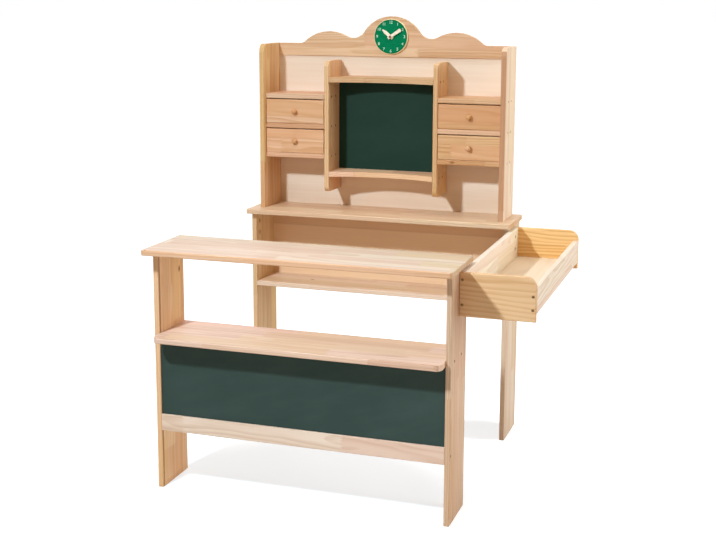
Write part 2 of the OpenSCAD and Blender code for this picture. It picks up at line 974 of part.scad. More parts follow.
// The hour hand is a leaf, the minute hand a bar that widens to a blunt end
module clock_hour_hand() {
    widest = -0.66 * hour_l;
    color(cream) hand(hour_turn, hour_back) polygon([
        [-hand_tail_w / 2, hand_tail], [-hand_w / 2, widest], [-1, -hour_l], [1, -hour_l],
        [hand_w / 2, widest], [hand_tail_w / 2, hand_tail]
    ]);
}

module clock_minute_hand() {
    shoulder = 0.25 * hand_w;
    color(cream) hand(minute_turn, minute_back) polygon([
        [-hand_tail_w / 2, hand_tail], [-hand_w / 2, shoulder - minute_l], [shoulder - hand_w / 2, -minute_l],
        [hand_w / 2 - shoulder, -minute_l], [hand_w / 2, shoulder - minute_l], [hand_tail_w / 2, hand_tail]
    ]);
}

module clock_pivot() {
    head_top = crest_y - pivot_head_back + pivot_head_t;
    color(brass) placed() pivot_place() translate([0, 0, -head_top]) {
        cylinder(d = pivot_d, h = head_top + pivot_grip);
        cylinder(d = pivot_head_d, h = pivot_head_t);
    }
}

// Fasteners

module counter_screws() {
    color(steel) placed() counter_screw_places() wood_screw();
}

module base_screws() {
    color(steel) placed() base_screw_places() wood_screw();
}

module hutch_screws() {
    color(steel) placed() {
        side_screw_places() wood_screw();
        shelf_screw_places() wood_screw();
        niche_screw_places() wood_screw();
    }
}

module tray_screws() {
    color(steel) placed() tray_screw_places() wood_screw();
}

module tray_bolts() {
    color(steel) placed() tray_bolt_places() tray_bolt();
}

module tray_nuts() {
    color(steel) placed() tray_bolt_places() translate([0, 0, 2 * board_t]) nut();
}

module dowels() {
    color(pale_pine) placed() dowel_places() dowel();
}

counter_left_leg();
counter_right_leg();
counter_top();
counter_shelf();
counter_chalkboard();
counter_rail();
base_left_leg();
base_right_leg();
worktop();
base_shelf();
base_back_panel();
hutch_left_side();
hutch_right_side();
hutch_back();
crest_board();
left_divider();
right_divider();
niche_top_shelf();
niche_bottom_shelf();
niche_chalkboard();
left_top_shelf();
left_middle_shelf();
left_bottom_shelf();
right_top_shelf();
right_middle_shelf();
right_bottom_shelf();
drawer_front(-1, 1);  // upper_left_drawer_front
drawer_walls(-1, 1);  // upper_left_drawer_walls
drawer_bottom(-1, 1);  // upper_left_drawer_bottom
drawer_knob(-1, 1);  // upper_left_drawer_knob
drawer_front(-1, 0);  // lower_left_drawer_front
drawer_walls(-1, 0);  // lower_left_drawer_walls
drawer_bottom(-1, 0);  // lower_left_drawer_bottom
drawer_knob(-1, 0);  // lower_left_drawer_knob
drawer_front(1, 1);  // upper_right_drawer_front
drawer_walls(1, 1);  // upper_right_drawer_walls
drawer_bottom(1, 1);  // upper_right_drawer_bottom
drawer_knob(1, 1);  // upper_right_drawer_knob
drawer_front(1, 0);  // lower_right_drawer_front
drawer_walls(1, 0);  // lower_right_drawer_walls
drawer_bottom(1, 0);  // lower_right_drawer_bottom
drawer_knob(1, 0);  // lower_right_drawer_knob
tray_front();
tray_back();
tray_inner_wall();
tray_outer_wall();
tray_floor();
clock_dial();
clock_hour_hand();
clock_minute_hand();
clock_pivot();
counter_screws();
base_screws();
hutch_screws();
tray_screws();
tray_bolts();
tray_nuts();
dowels();
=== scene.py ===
import math

import bmesh
import bpy
from mathutils import Matrix, Vector


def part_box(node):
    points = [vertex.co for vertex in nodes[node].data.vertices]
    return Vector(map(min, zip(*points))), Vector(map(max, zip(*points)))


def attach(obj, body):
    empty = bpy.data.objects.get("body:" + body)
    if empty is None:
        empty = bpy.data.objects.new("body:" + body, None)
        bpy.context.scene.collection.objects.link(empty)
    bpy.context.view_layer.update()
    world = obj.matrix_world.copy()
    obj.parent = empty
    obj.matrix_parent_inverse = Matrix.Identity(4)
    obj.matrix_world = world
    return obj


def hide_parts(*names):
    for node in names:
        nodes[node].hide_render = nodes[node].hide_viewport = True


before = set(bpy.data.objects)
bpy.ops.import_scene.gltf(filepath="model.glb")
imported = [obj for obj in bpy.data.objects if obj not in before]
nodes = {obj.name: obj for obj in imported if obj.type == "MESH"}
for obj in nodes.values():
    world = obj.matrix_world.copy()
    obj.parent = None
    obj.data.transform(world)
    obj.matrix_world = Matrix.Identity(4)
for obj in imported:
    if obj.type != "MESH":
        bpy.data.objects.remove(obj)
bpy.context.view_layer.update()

# Front counter
# Two legs, a top, a shelf and a rail of glue-laminated pine, finger-jointed out of short staves and
# finished with a clear satin lacquer. The boards are dowelled and screwed together. The left leg has
# an open hole, with a ring of painted shade round it, where the tray can hang instead.


class Shade:
    """One socket of a material's node tree. Arithmetic on it adds Math nodes."""

    def __init__(self, tree, socket=None):
        self.tree = tree
        self.socket = socket

    def node(self, kind, settings=None, sockets=None, out=0):
        """Adds a node, fills in its settings and sockets, and gives one of its outputs."""
        made = self.tree.nodes.new(kind if "Node" in kind else "ShaderNode" + kind)
        for key, value in (settings or {}).items():
            setattr(made, key, value)
        for key, value in (sockets or {}).items():
            if isinstance(value, Shade):
                self.tree.links.new(value.socket, made.inputs[key])
            else:
                made.inputs[key].default_value = value
        return Shade(self.tree, made.outputs[out])

    def math(self, operation, *others):
        sockets = dict(enumerate((self,) + others))
        return self.node("Math", {"operation": operation}, sockets)

    def __add__(self, other):
        return self.math("ADD", other)

    __radd__ = __add__

    def __mul__(self, other):
        return self.math("MULTIPLY", other)

    __rmul__ = __mul__

    def __sub__(self, other):
        return self.math("SUBTRACT", other)

    def __rsub__(self, other):
        return (self * -1.0) + other

    def __truediv__(self, other):
        return self.math("DIVIDE", other)

    def step(self, low, high):
        """0 below low, 1 above high, smooth between."""
        return self.node(
            "MapRange",
            {"interpolation_type": "SMOOTHSTEP"},
            {"Value": self, "From Min": low, "From Max": high},
        )

    def vector(self, x, y, z):
        return self.node("CombineXYZ", None, {"X": x, "Y": y, "Z": z})

    def noise(self, x, y, z, detail=2.0, rough=0.5):
        sockets = {"Vector": self.vector(x, y, z), "Scale": 1.0, "Detail": detail, "Roughness": rough}
        return self.node("TexNoise", {"noise_dimensions": "3D"}, sockets)

    def mix(self, factor, first, second):
        """The first colour where the factor is 0, the second where it is 1."""
        return self.node("Mix", {"data_type": "RGBA"}, {0: factor, 6: first, 7: second}, out=2)

    def facing(self, axis):
        """1 where the surface faces along an axis, either way, and 0 where it lies along it."""
        normal = self.node("TexCoord", out="Normal")
        return self.node("SeparateXYZ", None, {"Vector": normal}, out=axis).math("ABSOLUTE")


def new_material(name, **finish):
    """A Principled material: its base, its shader node, and the surface's own X, Y and Z in metres."""
    material = bpy.data.materials.new(name)
    material.use_nodes = True
    tree = material.node_tree
    shader = tree.nodes["Principled BSDF"]
    for socket, value in finish.items():
        shader.inputs[socket.replace("_", " ")].default_value = value
    base = Shade(tree)
    place = base.node("TexCoord", out="Object")
    axes = {}
    for axis in "XYZ":
        axes[axis] = base.node("SeparateXYZ", None, {"Vector": place}, out=axis)
    return material, base, shader, axes


def feed(shader, socket, value):
    """Links a value to a socket of a shader."""
    value.tree.links.new(value.socket, shader.inputs[socket])


def bump(base, shader, height, strength, distance):
    """Gives a finish fine relief, so many metres deep."""
    sockets = {"Height": height, "Strength": strength, "Distance": distance}
    feed(shader, "Normal", base.node("Bump", None, sockets))


def linear(red, green, blue):
    """A colour given in screen levels, in the linear numbers that shaders take."""
    def lift(part):
        part = part / 255.0
        return part / 12.92 if part <= 0.04045 else ((part + 0.055) / 1.055) ** 2.4

    return (lift(red), lift(green), lift(blue), 1.0)


def shifted(tone, *steps):
    """A tone moved by so many screen levels in red, green and blue, in linear numbers."""
    return linear(*(min(part + step, 254) for part, step in zip(tone, steps)))


def other_axis(along, across):
    """The third axis, which runs through the board."""
    return next(axis for axis in "XYZ" if axis not in (along, across))


def pine(
    node, along, across, tone, stave_w=0.05, stave_l=0.42, ring=0.0055, contrast=1.0, lip=0.0,
    lip_tone=(176, 114, 64), knots=(), line_in=None,
):
    """Glue-laminated pine: the grain runs along one axis and the staves lie side by side across it.

    lip tints the front edge with lip_tone, partly the wood's own tone and partly painted shade for how light
    falls on the front faces. Each knot, and each ring of painted shade round an open hole, is a place,
    measured from the board's low corner, and a size. line_in is how far behind the front edge a line of
    painted shade runs along the grain.
    """
    satin = {"Coat_Weight": 0.05, "Coat_Roughness": 0.35, "Specular_IOR_Level": 0.22}
    material, base, shader, axes = new_material("pine_" + node, **satin)
    seed = 1.7 * len(bpy.data.materials)
    through = other_axis(along, across)
    low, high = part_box(node)
    middle = {axis: (low[i] + high[i]) / 2 for i, axis in enumerate("XYZ")}
    u = axes[along] - middle[along]
    v = axes[across] - middle[across]
    w = axes[through] - middle[through]

    def grain(slow, fast, shift, apart, **more):
        """Noise that is drawn out along the grain: slow along it and fast across it."""
        return base.noise(u * slow + shift, v * fast, w * fast + seed * apart, **more)

    # Staves: rows across the board, each cut into lengths that meet in finger joints
    rows = v / stave_w + 0.37 * seed
    row = rows.math("FLOOR")
    start = base.node("TexWhiteNoise", {"noise_dimensions": "2D"}, {"Vector": base.vector(row, seed, 0.0)})
    finger_w = 0.0028
    finger_slope = 3.2
    finger = v.math("PINGPONG", finger_w) * finger_slope
    length = (u + start * stave_l + finger) / stave_l
    stave = base.vector(row, length.math("FLOOR"), seed)
    chance = base.node("TexWhiteNoise", {"noise_dimensions": "3D"}, {"Vector": stave}, out="Color")
    first = base.node("SeparateColor", None, {"Color": chance}, out="Red")
    second = base.node("SeparateColor", None, {"Color": chance}, out="Green")
    third = base.node("SeparateColor", None, {"Color": chance}, out="Blue")

    # Year rings: cylinders about each stave's own pith, which lies behind the board and at a slant
    pith_aside = 0.05
    pith_slant = 0.09
    pith_near = 0.024
    pith_spread = 0.045
    ring_sway = 3.4
    sway = grain(2.6, 11.0, third * 9.0, 1.0, detail=3.0)
    aside = (rows - row - 0.5) * stave_w + (first - 0.5) * pith_aside + (second - 0.5) * pith_slant * u
    below = w + pith_near + pith_spread * second
    knot_and_hole_shade_reach = []
    knot_and_hole_shade_oval = 0.6
    for *inwards, size in knots:
        spot = {axis: low[i] + inwards[i] for i, axis in enumerate("XYZ")}
        near = base.vector(
            (axes[along] - spot[along]) * knot_and_hole_shade_oval,
            axes[across] - spot[across],
            axes[through] - spot[through],
        )
        reach = base.node("VectorMath", {"operation": "LENGTH"}, {0: near}, out="Value")
        knot_and_hole_shade_reach.append((reach, size))
        aside = aside + (1.0 - reach.step(0.0, size * 4.0)) * size * 1.8
    radius = (aside * aside + below * below).math("SQRT") + (sway - 0.5) * ring * ring_sway
    year = (radius / ring).math("FRACT")
    late = year.step(0.25, 0.88) * (1.0 - year.step(0.92, 1.0))

    # Fibres, broad streaks and the stave's own tone
    fibre = grain(9.0, 420.0, 0.0, 1.0, detail=3.0, rough=0.6)
    line = grain(4.0, 150.0, third * 7.0, 5.0, detail=3.0, rough=0.6)
    streak = grain(1.8, 50.0, first * 5.0, 3.0, detail=4.0, rough=0.6)
    band = grain(0.9, 14.0, second * 5.0, 7.0)
    depth = (
        0.36 * contrast * (late - 0.35)
        + 0.50 * contrast * (line - 0.5)
        + 0.85 * contrast * (streak - 0.5)
        + 0.22 * (fibre - 0.5)
        + 0.55 * contrast * (band - 0.5)
        + 0.42 * (first - 0.5)
        + 0.46
    )
    pale = shifted(tone, 12, 18, 22)
    deep = shifted(tone, -18, -27, -32)
    rose = shifted(tone, 2, -12, -8)
    gold = shifted(tone, -2, -2, -24)
    wood = base.mix(depth.step(-0.1, 1.1), pale, deep)
    wood = base.mix(second.step(0.45, 1.0) * 0.45, wood, rose)
    wood = base.mix(third.step(0.55, 1.0) * 0.45, wood, gold)

    # Glue lines, knots, painted shade round open holes and along the front arris, the front edge's tint and
    # darker end grain
    glue = linear(150, 104, 66)
    knot_and_hole_shade_ring = linear(160, 100, 56)
    knot_and_hole_shade_heart = linear(96, 54, 32)
    arris_shade = linear(120, 74, 38)
    end_grain = linear(198, 150, 104)
    seam = 1.0 - rows.math("PINGPONG", 0.5).step(0.004, 0.014)
    joint = 1.0 - length.math("PINGPONG", 0.5).step(0.0004, 0.0016)
    wood = base.mix(seam * 0.10 + joint * 0.14, wood, glue)
    # Knots, and rings of painted shade round open holes that stand for a countersink's shade
    for reach, size in knot_and_hole_shade_reach:
        rough = reach + (sway - 0.5) * size * 0.6
        wood = base.mix((1.0 - rough.step(size * 0.7, size * 1.6)) * 0.7, wood, knot_and_hole_shade_ring)
        wood = base.mix((1.0 - rough.step(size * 0.2, size * 0.6)) * 0.7, wood, knot_and_hole_shade_heart)
    # A line of painted shade along the arris, just behind the front edge
    if line_in is not None:
        arris_shade_mask = 1.0 - (axes["Y"] - (low[1] + line_in)).math("ABSOLUTE").step(0.0018, 0.0042)
        wood = base.mix(arris_shade_mask * 0.7, wood, arris_shade)
    # The front edge's tint: partly the wood's own tone, partly painted shade for how light falls on front
    # faces
    if lip:
        front = 1.0 - axes["Y"].step(low[1] + 0.004, low[1] + 0.006)
        wood = base.mix(front * lip, wood, linear(*lip_tone))
    end = base.facing(along).step(0.75, 0.95)
    wood = base.mix(end * 0.35, wood, end_grain)
    feed(shader, "Base Color", wood)
    feed(shader, "Roughness", 0.42 + 0.12 * (streak - 0.5) + 0.08 * late + end * 0.15)
    bump(base, shader, late * 0.35 + fibre * 0.5 + seam * -0.4, 0.14, 0.0005)
    return material


def dress(node, material):
    """Gives a CAD node its finish."""
    for slot in nodes[node].material_slots:
        slot.material = material


def board(node, along, across, tone, **more):
    """Dresses a CAD node as a pine board of that tone."""
    dress(node, pine(node, along, across, tone, **more))


leg_low, leg_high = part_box("counter_left_leg")
leg_inside = leg_high[0] - leg_low[0]
# Size of the ring of painted shade round each open hole in the left legs
hole_shade_size = 0.004
tray_hole_shade = (leg_inside, 0.114, 0.544, hole_shade_size)
board("counter_left_leg", "Z", "Y", (240, 199, 154), lip=0.3, line_in=0.006, knots=(tray_hole_shade,))
board("counter_right_leg", "Z", "Y", (204, 170, 140))
board("counter_top", "X", "Y", (206, 187, 167), stave_w=0.045, lip=0.5, lip_tone=(229, 160, 99))
board("counter_shelf", "X", "Y", (227, 195, 174), stave_w=0.048, lip=0.2)
board("counter_rail", "X", "Z", (219, 192, 169), stave_w=0.06)

# Chalkboards
# Thin hardboard with matt dark green chalkboard paint, held in grooves: one under the counter shelf
# and one at the back of the hutch's niche. A little chalk dust is rubbed into the paint.


def chalk_paint(name, seed, colour, dust):
    """Matt paint with a veil of wiped chalk, as strong as dust says."""
    material, base, shader, axes = new_material(name, Specular_IOR_Level=0.12)
    x = axes["X"]
    z = axes["Z"]
    cloud = base.noise(x * 3.0, seed, z * 5.0, detail=4.0, rough=0.6)
    wipe = base.noise(x * 4.0 + z * 6.0, seed + 3.0, z * 26.0 - x * 9.0, detail=3.0)
    speck = base.noise(x * 900.0, seed + 5.0, z * 900.0, detail=1.0)
    veil = cloud.step(0.35, 0.75) * 0.5 + wipe.step(0.40, 0.80) * 0.3 + 0.1
    chalk = linear(112, 124, 119)
    pit = linear(20, 34, 30)
    paint = base.mix(veil * dust, colour, chalk)
    paint = base.mix(speck.step(0.45, 0.9) * 0.12, paint, pit)
    feed(shader, "Base Color", paint)
    feed(shader, "Roughness", 0.50 + veil * 0.18)
    bump(base, shader, speck, 0.10, 0.0003)
    return material


dress("counter_chalkboard", chalk_paint("chalk_paint_counter", 1.0, linear(47, 64, 59), 0.16))
dress("niche_chalkboard", chalk_paint("chalk_paint_niche", 2.0, linear(25, 54, 43), 0.06))

# Back base
# The same pine: two legs, a worktop, a shelf half way down and a back panel between the two, all
# screwed through the legs. The left leg has the tray's other two open holes.

# Each open hole gets a ring of painted shade round it, in place of a countersink's shade
tray_hole_shades = [(leg_inside, 0.025, height, hole_shade_size) for height in (0.580, 0.546)]
board("base_left_leg", "Z", "Y", (232, 197, 152), lip=0.15, knots=tray_hole_shades)
board("base_right_leg", "Z", "Y", (219, 195, 171))
board("worktop", "X", "Y", (223, 191, 157), stave_w=0.044)
shelf_knot = (0.1483, 0.0675, 0.014, 0.003)
board("base_shelf", "X", "Y", (230, 198, 170), stave_w=0.044, knots=(shelf_knot,))
board("base_back_panel", "X", "Z", (238, 200, 162), stave_w=0.3, stave_l=40.0, contrast=0.2)

# Hutch
# Two sides with rounded shoulders, a crest sawn in humps, dividers and shelves, all of the same pine,
# round a plywood back that is let into grooves.

board("hutch_left_side", "Z", "Y", (223, 185, 137), stave_w=0.046, contrast=1.6, lip=0.1)
board("hutch_right_side", "Z", "Y", (237, 213, 189), stave_w=0.046, lip=0.75)
board("crest_board", "X", "Z", (222, 184, 147), stave_w=0.046)
board("left_divider", "Z", "Y", (222, 181, 136), stave_w=0.060)
board("right_divider", "Z", "Y", (229, 190, 142), stave_w=0.060, lip=0.3)
niche_knots = ((0.0591, 0.006, 0.008, 0.003), (0.2294, 0.015, 0.007, 0.003))
board("niche_top_shelf", "X", "Y", (202, 161, 118), knots=niche_knots)
board("niche_bottom_shelf", "X", "Y", (236, 193, 161))
board("left_top_shelf", "X", "Y", (214, 174, 140))
board("right_top_shelf", "X", "Y", (218, 177, 138))
board("left_middle_shelf", "X", "Y", (208, 161, 122))
board("left_bottom_shelf", "X", "Y", (224, 178, 143))
board("right_middle_shelf", "X", "Y", (220, 175, 145))
edge_knot = (0.0429, 0.0, 0.007, 0.004)
board("right_bottom_shelf", "X", "Y", (209, 162, 116), knots=(edge_knot,))


def plywood(name, seed, along, across, tone):
    """Rotary-cut birch and pine veneer: pale, with wide soft flames along the grain."""
    material, base, shader, axes = new_material(name, Specular_IOR_Level=0.03)
    through = other_axis(along, across)
    u = axes[along]
    v = axes[across]
    w = axes[through]
    warp = base.noise(u * 1.1, v * 3.0, w + seed, detail=2.0)
    flame = ((v * 26.0 + warp * 5.0 + seed).math("SINE") * 0.5 + 0.5).step(0.55, 1.0)
    streak = base.noise(u * 2.0, v * 60.0, w + seed * 3.0, detail=3.0)
    fibre = base.noise(u * 12.0, v * 500.0, w + seed, detail=2.0)
    depth = 0.34 * flame + 0.5 * (streak - 0.5) + 0.25 * (fibre - 0.5) + 0.30
    pale = shifted(tone, 8, 12, 15)
    deep = shifted(tone, -12, -20, -26)
    veneer = base.mix(depth.step(0.0, 1.0), pale, deep)
    layers_per_m = 1250.0
    layers = (w * layers_per_m).math("PINGPONG", 1.0).step(0.35, 0.65)
    cut = 1.0 - base.facing(through).step(0.6, 0.9)
    veneer = base.mix(cut * layers * 0.5, veneer, linear(176, 126, 82))
    feed(shader, "Base Color", veneer)
    feed(shader, "Roughness", 0.52 + 0.15 * (streak - 0.5))
    bump(base, shader, fibre, 0.10, 0.0003)
    return material


dress("hutch_back", plywood("plywood_hutch_back", 1.0, "X", "Z", (237, 218, 198)))

# Drawers
# Four small boxes: a pine front with a turned knob, bare pine walls and a plywood bottom in grooves.
# Each drawer slides in its bay on the shelf below it.

fronts = {
    "upper_left_drawer": (219, 174, 136),
    "lower_left_drawer": (228, 183, 146),
    "upper_right_drawer": (212, 162, 123),
    "lower_right_drawer": (216, 171, 125),
}
for seed, (drawer, tone) in enumerate(fronts.items(), start=11):
    board(drawer + "_front", "X", "Z", tone, contrast=1.3)
    board(drawer + "_walls", "Y", "Z", (236, 205, 178), stave_w=0.06)
    dress(drawer + "_bottom", plywood("plywood_" + drawer, float(seed), "X", "Y", (236, 208, 180)))
    board(drawer + "_knob", "Y", "X", (212, 163, 117), stave_w=0.2)

# Side tray
# An open box of four pine boards round a plywood floor, screwed at the corners and hung outside the
# right legs of counter and base.

whole_plank = {"stave_w": 0.3, "stave_l": 2.0, "ring": 0.010, "contrast": 1.5}
board("tray_front", "X", "Z", (220, 182, 134), **whole_plank)
board("tray_back", "X", "Z", (233, 189, 127), **whole_plank)
board("tray_inner_wall", "Y", "Z", (241, 232, 216), stave_w=0.055)
board("tray_outer_wall", "Y", "Z", (228, 210, 190), stave_w=0.055)
dress("tray_floor", plywood("plywood_tray_floor", 5.0, "Y", "X", (231, 211, 186)))

# Toy clock
# A turned disc, painted green up to a bare cream rim, with printed numbers and two flat wooden hands
# on a brass pin. It is there to teach the time, so the hands are set by hand.

dial_low, dial_high = (Vector(corner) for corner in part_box("clock_dial"))
clock_x = (dial_low.x + dial_high.x) / 2
clock_z = (dial_low.z + dial_high.z) / 2
dial_front = dial_low.y
dial_r = (dial_high.x - dial_low.x) / 2


def dial_paint():
    """Brushed green, darker towards a bare cream rim."""
    material, base, shader, axes = new_material("clock_dial_paint", Specular_IOR_Level=0.03)
    x = axes["X"] - clock_x
    z = axes["Z"] - clock_z
    y = axes["Y"]
    radius = (x * x + z * z).math("SQRT")
    brush = base.noise(x * 60.0, y * 60.0, z * 240.0, detail=3.0)
    grain = base.noise(x * 30.0, y * 300.0, z * 500.0, detail=3.0)
    green = base.mix(brush.step(0.3, 0.75), linear(2, 120, 76), linear(10, 134, 90))
    shadow_green = linear(2, 96, 60)
    green = base.mix(radius.step(dial_r * 0.86, dial_r * 0.94) * 0.6, green, shadow_green)
    rim = base.mix(grain, linear(250, 240, 205), linear(226, 205, 160))
    edge = radius.step(dial_r * 0.962, dial_r * 0.970)
    behind = y.step(dial_front + 0.0004, dial_front + 0.0008)
    feed(shader, "Base Color", base.mix(edge.math("MAXIMUM", behind), green, rim))
    feed(shader, "Roughness", 0.32 + 0.2 * edge + 0.1 * (brush - 0.5))
    bump(base, shader, brush, 0.05, 0.0003)
    return material


def print_ink():
    """Pale ink, worn thin in specks."""
    material, base, shader, axes = new_material("clock_print", Coat_Weight=0.1)
    wear = base.noise(axes["X"] * 700.0, axes["Y"], axes["Z"] * 700.0, detail=2.0)
    ink = base.mix(wear.step(0.4, 0.8) * 0.5, linear(196, 236, 214), linear(120, 198, 160))
    feed(shader, "Base Color", ink)
    feed(shader, "Roughness", 0.4 + 0.1 * wear)
    return material


dress("clock_dial", dial_paint())
number_size = 0.0112
number_bold = 0.00015
ink_thick = 0.0001
number_r = 0.81 * dial_r
numbers = bmesh.new()
for hour in range(1, 13):
    words = bpy.data.curves.new("hour", "FONT")
    words.body = str(hour)
    words.size = number_size
    words.align_x = "CENTER"
    words.align_y = "CENTER"
    words.offset = number_bold
    words.extrude = ink_thick
    written = bpy.data.objects.new("hour", words)
    bpy.context.collection.objects.link(written)
    flat = bpy.data.meshes.new_from_object(written.evaluated_get(bpy.context.evaluated_depsgraph_get()))
    turn = math.radians(30 * hour)
    aside = number_r * math.sin(turn)
    up = number_r * math.cos(turn)
    spot = Vector((clock_x + aside, dial_front - ink_thick, clock_z + up))
    flat.transform(Matrix.Translation(spot) @ Matrix.Rotation(math.pi / 2, 4, "X"))
    numbers.from_mesh(flat)
    bpy.data.objects.remove(written)
numerals_mesh = bpy.data.meshes.new("clock_numbers")
numbers.to_mesh(numerals_mesh)
numbers.free()
numerals = bpy.data.objects.new("clock_numbers", numerals_mesh)
bpy.context.collection.objects.link(numerals)
numerals_mesh.materials.append(print_ink())
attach(numerals, "stall")


def hand_wood(name, seed):
    """Cream wood with a few reddish lines."""
    material, base, shader, axes = new_material(name, Coat_Weight=0.1)
    grain = base.noise(axes["X"] * 160.0, axes["Y"] * 160.0, axes["Z"] * 160.0 + seed, detail=3.0)
    line = base.noise(axes["X"] * 420.0 + axes["Z"] * 300.0, seed, axes["Z"] * 120.0, detail=2.0)
    cream = base.mix(grain.step(0.35, 0.75), linear(252, 244, 224), linear(240, 214, 186))
    feed(shader, "Base Color", base.mix(line.step(0.55, 0.75) * 0.4, cream, linear(222, 168, 140)))
    feed(shader, "Roughness", 0.4 + 0.15 * grain)
    bump(base, shader, grain, 0.08, 0.0003)
    return material


dress("clock_hour_hand", hand_wood("hour_hand_wood", 1.0))
dress("clock_minute_hand", hand_wood("minute_hand_wood", 2.0))


def metal(name, light, arris_shade_mask, rough):
    """Plated metal with fine scuffs between a light and a dark tone."""
    material, base, shader, axes = new_material(name, Metallic=0.85)
    scuffs_per_m = 500.0
    x, y, z = (axes[axis] * scuffs_per_m for axis in "XYZ")
    scuff = base.noise(x, y, z, detail=3.0)
    feed(shader, "Base Color", base.mix(scuff.step(0.3, 0.7), light, arris_shade_mask))
    feed(shader, "Roughness", rough + 0.25 * scuff)
    bump(base, shader, scuff, 0.06, 0.0002)
    return material


dress("clock_pivot", metal("pivot_brass", linear(150, 104, 84), linear(96, 60, 48), 0.3))

# Screws, bolts and dowels
# Countersunk wood screws with a cross recess, yellow plated, and zinc plated bolts with a hexagon
# socket and chamfered nuts hold the boards. The screws' plating carries painted shade, and on the
# tray painted light. Wooden dowels hidden in the joints hold the tops and the crest.


def points_tree(name, sizes, seed=None):
    """A geometry tree for one thing at every point: a Shade to add nodes with, and its named inputs."""
    tree = bpy.data.node_groups.new(name, "GeometryNodeTree")
    tree.interface.new_socket("Points", in_out="INPUT", socket_type="NodeSocketGeometry")
    for title, value in sizes.items():
        tree.interface.new_socket(title, in_out="INPUT", socket_type="NodeSocketFloat").default_value = value
    if seed is not None:
        tree.interface.new_socket("Seed", in_out="INPUT", socket_type="NodeSocketInt").default_value = seed
    tree.interface.new_socket("Finish", in_out="INPUT", socket_type="NodeSocketMaterial")
    tree.interface.new_socket("Geometry", in_out="OUTPUT", socket_type="NodeSocketGeometry")
    inside = tree.nodes.new("NodeGroupInput")
    return Shade(tree), {socket.name: Shade(tree, socket) for socket in inside.outputs}


def moved(base, mesh, z, turn=0.0):
    """The mesh raised by z and turned about its own axis."""
    sockets = {"Geometry": mesh, "Translation": base.vector(0.0, 0.0, z), "Rotation": (0.0, 0.0, turn)}
    return base.node("GeometryNodeTransform", None, sockets)


def carved(base, operation, mesh, tool):
    """The mesh less the tool, or what the two have in common."""
    made = base.tree.nodes.new("GeometryNodeMeshBoolean")
    made.operation = operation
    first = made.inputs[0] if operation == "DIFFERENCE" else made.inputs[1]
    base.tree.links.new(mesh.socket, first)
    base.tree.links.new(tool.socket, made.inputs[1])
    return Shade(base.tree, made.outputs[0])


def at_points(base, given, mesh):
    """Ends the tree: the mesh at every point, facing out, and spun by chance if the tree has a seed."""
    tree = base.tree
    facing = base.node("GeometryNodeInputNamedAttribute", {"data_type": "FLOAT_VECTOR"}, {"Name": "facing"})
    turned = base.node("FunctionNodeAlignRotationToVector", {"axis": "Z"}, {"Vector": facing})
    if "Seed" in given:
        chance = tree.nodes.new("FunctionNodeRandomValue")
        chance.data_type = "FLOAT"
        chance.inputs[3].default_value = math.pi
        tree.links.new(given["Seed"].socket, chance.inputs["Seed"])
        angle = Shade(tree, chance.outputs[1])
        spin = base.node("FunctionNodeAxisAngleToRotation", None, {"Angle": angle})
        sockets = {"Rotation": turned, "Rotate By": spin}
        turned = base.node("FunctionNodeRotateRotation", {"rotation_space": "LOCAL"}, sockets)
    sockets = {"Points": given["Points"], "Instance": mesh, "Rotation": turned}
    placed = base.node("GeometryNodeInstanceOnPoints", None, sockets)
    plain = base.node("GeometryNodeRealizeInstances", None, {"Geometry": placed})
    dressed = base.node("GeometryNodeSetMaterial", None, {"Geometry": plain, "Material": given["Finish"]})
    outside = tree.nodes.new("NodeGroupOutput")
    tree.links.new(dressed.socket, outside.inputs[0])
    return tree


def fastener_tree(name, sizes, hexagon):
    """A countersunk fastener with a threaded shank at every point, its head facing out."""
    base, given = points_tree(name, sizes, seed=7)
    thread_share = 0.8
    core_share = 0.78
    point_share = 0.12
    ridge_share = 0.24
    head_r = given["Head Radius"]
    head_h = given["Head Depth"]
    core_r = given["Shank Radius"] * core_share
    body = given["Length"] - head_h - given["Tip"]

    def cone(bottom, top, depth, corners=32):
        sockets = {"Vertices": corners, "Radius Bottom": bottom, "Radius Top": top, "Depth": depth}
        return base.node("GeometryNodeMeshCone", None, sockets)

    head = moved(base, cone(given["Shank Radius"], head_r, head_h), head_h * -1.0)
    if hexagon:
        socket_share = 0.42
        socket_deep = 0.7
        socket_r = head_r * socket_share
        hole = cone(socket_r, socket_r, head_h * (2.0 * socket_deep), corners=6)
        cuts = [moved(base, hole, head_h * -socket_deep)]
    else:
        slot_long = 1.15
        slot_wide = 0.26
        slot_deep = 0.65
        slot = base.vector(head_r * slot_long, head_r * slot_wide, head_h * (2.0 * slot_deep))
        bar = base.node("GeometryNodeMeshCube", None, {"Size": slot})
        cuts = [bar, moved(base, bar, 0.0, math.pi / 2)]
    for cut in cuts:
        head = carved(base, "DIFFERENCE", head, cut)
    shank = moved(base, cone(core_r, core_r, body), (head_h + body) * -1.0)
    point_r = given["Shank Radius"] * point_share
    tip = moved(base, cone(point_r, core_r, given["Tip"]), given["Length"] * -1.0)
    sockets = {
        "Resolution": 14,
        "Rotations": body * thread_share / given["Pitch"],
        "Start Radius": core_r,
        "End Radius": core_r,
        "Height": body * thread_share,
    }
    winding = base.node("GeometryNodeCurveSpiral", None, sockets)
    sockets = {"Resolution": 3, "Radius": core_r * ridge_share}
    ridge = base.node("GeometryNodeCurvePrimitiveCircle", None, sockets)
    sockets = {"Curve": winding, "Profile Curve": ridge, "Fill Caps": True}
    thread = moved(base, base.node("GeometryNodeCurveToMesh", None, sockets), (head_h + body) * -1.0)
    whole = base.tree.nodes.new("GeometryNodeJoinGeometry")
    for mesh in (head, shank, tip, thread):
        base.tree.links.new(mesh.socket, whole.inputs[0])
    return at_points(base, given, Shade(base.tree, whole.outputs[0]))


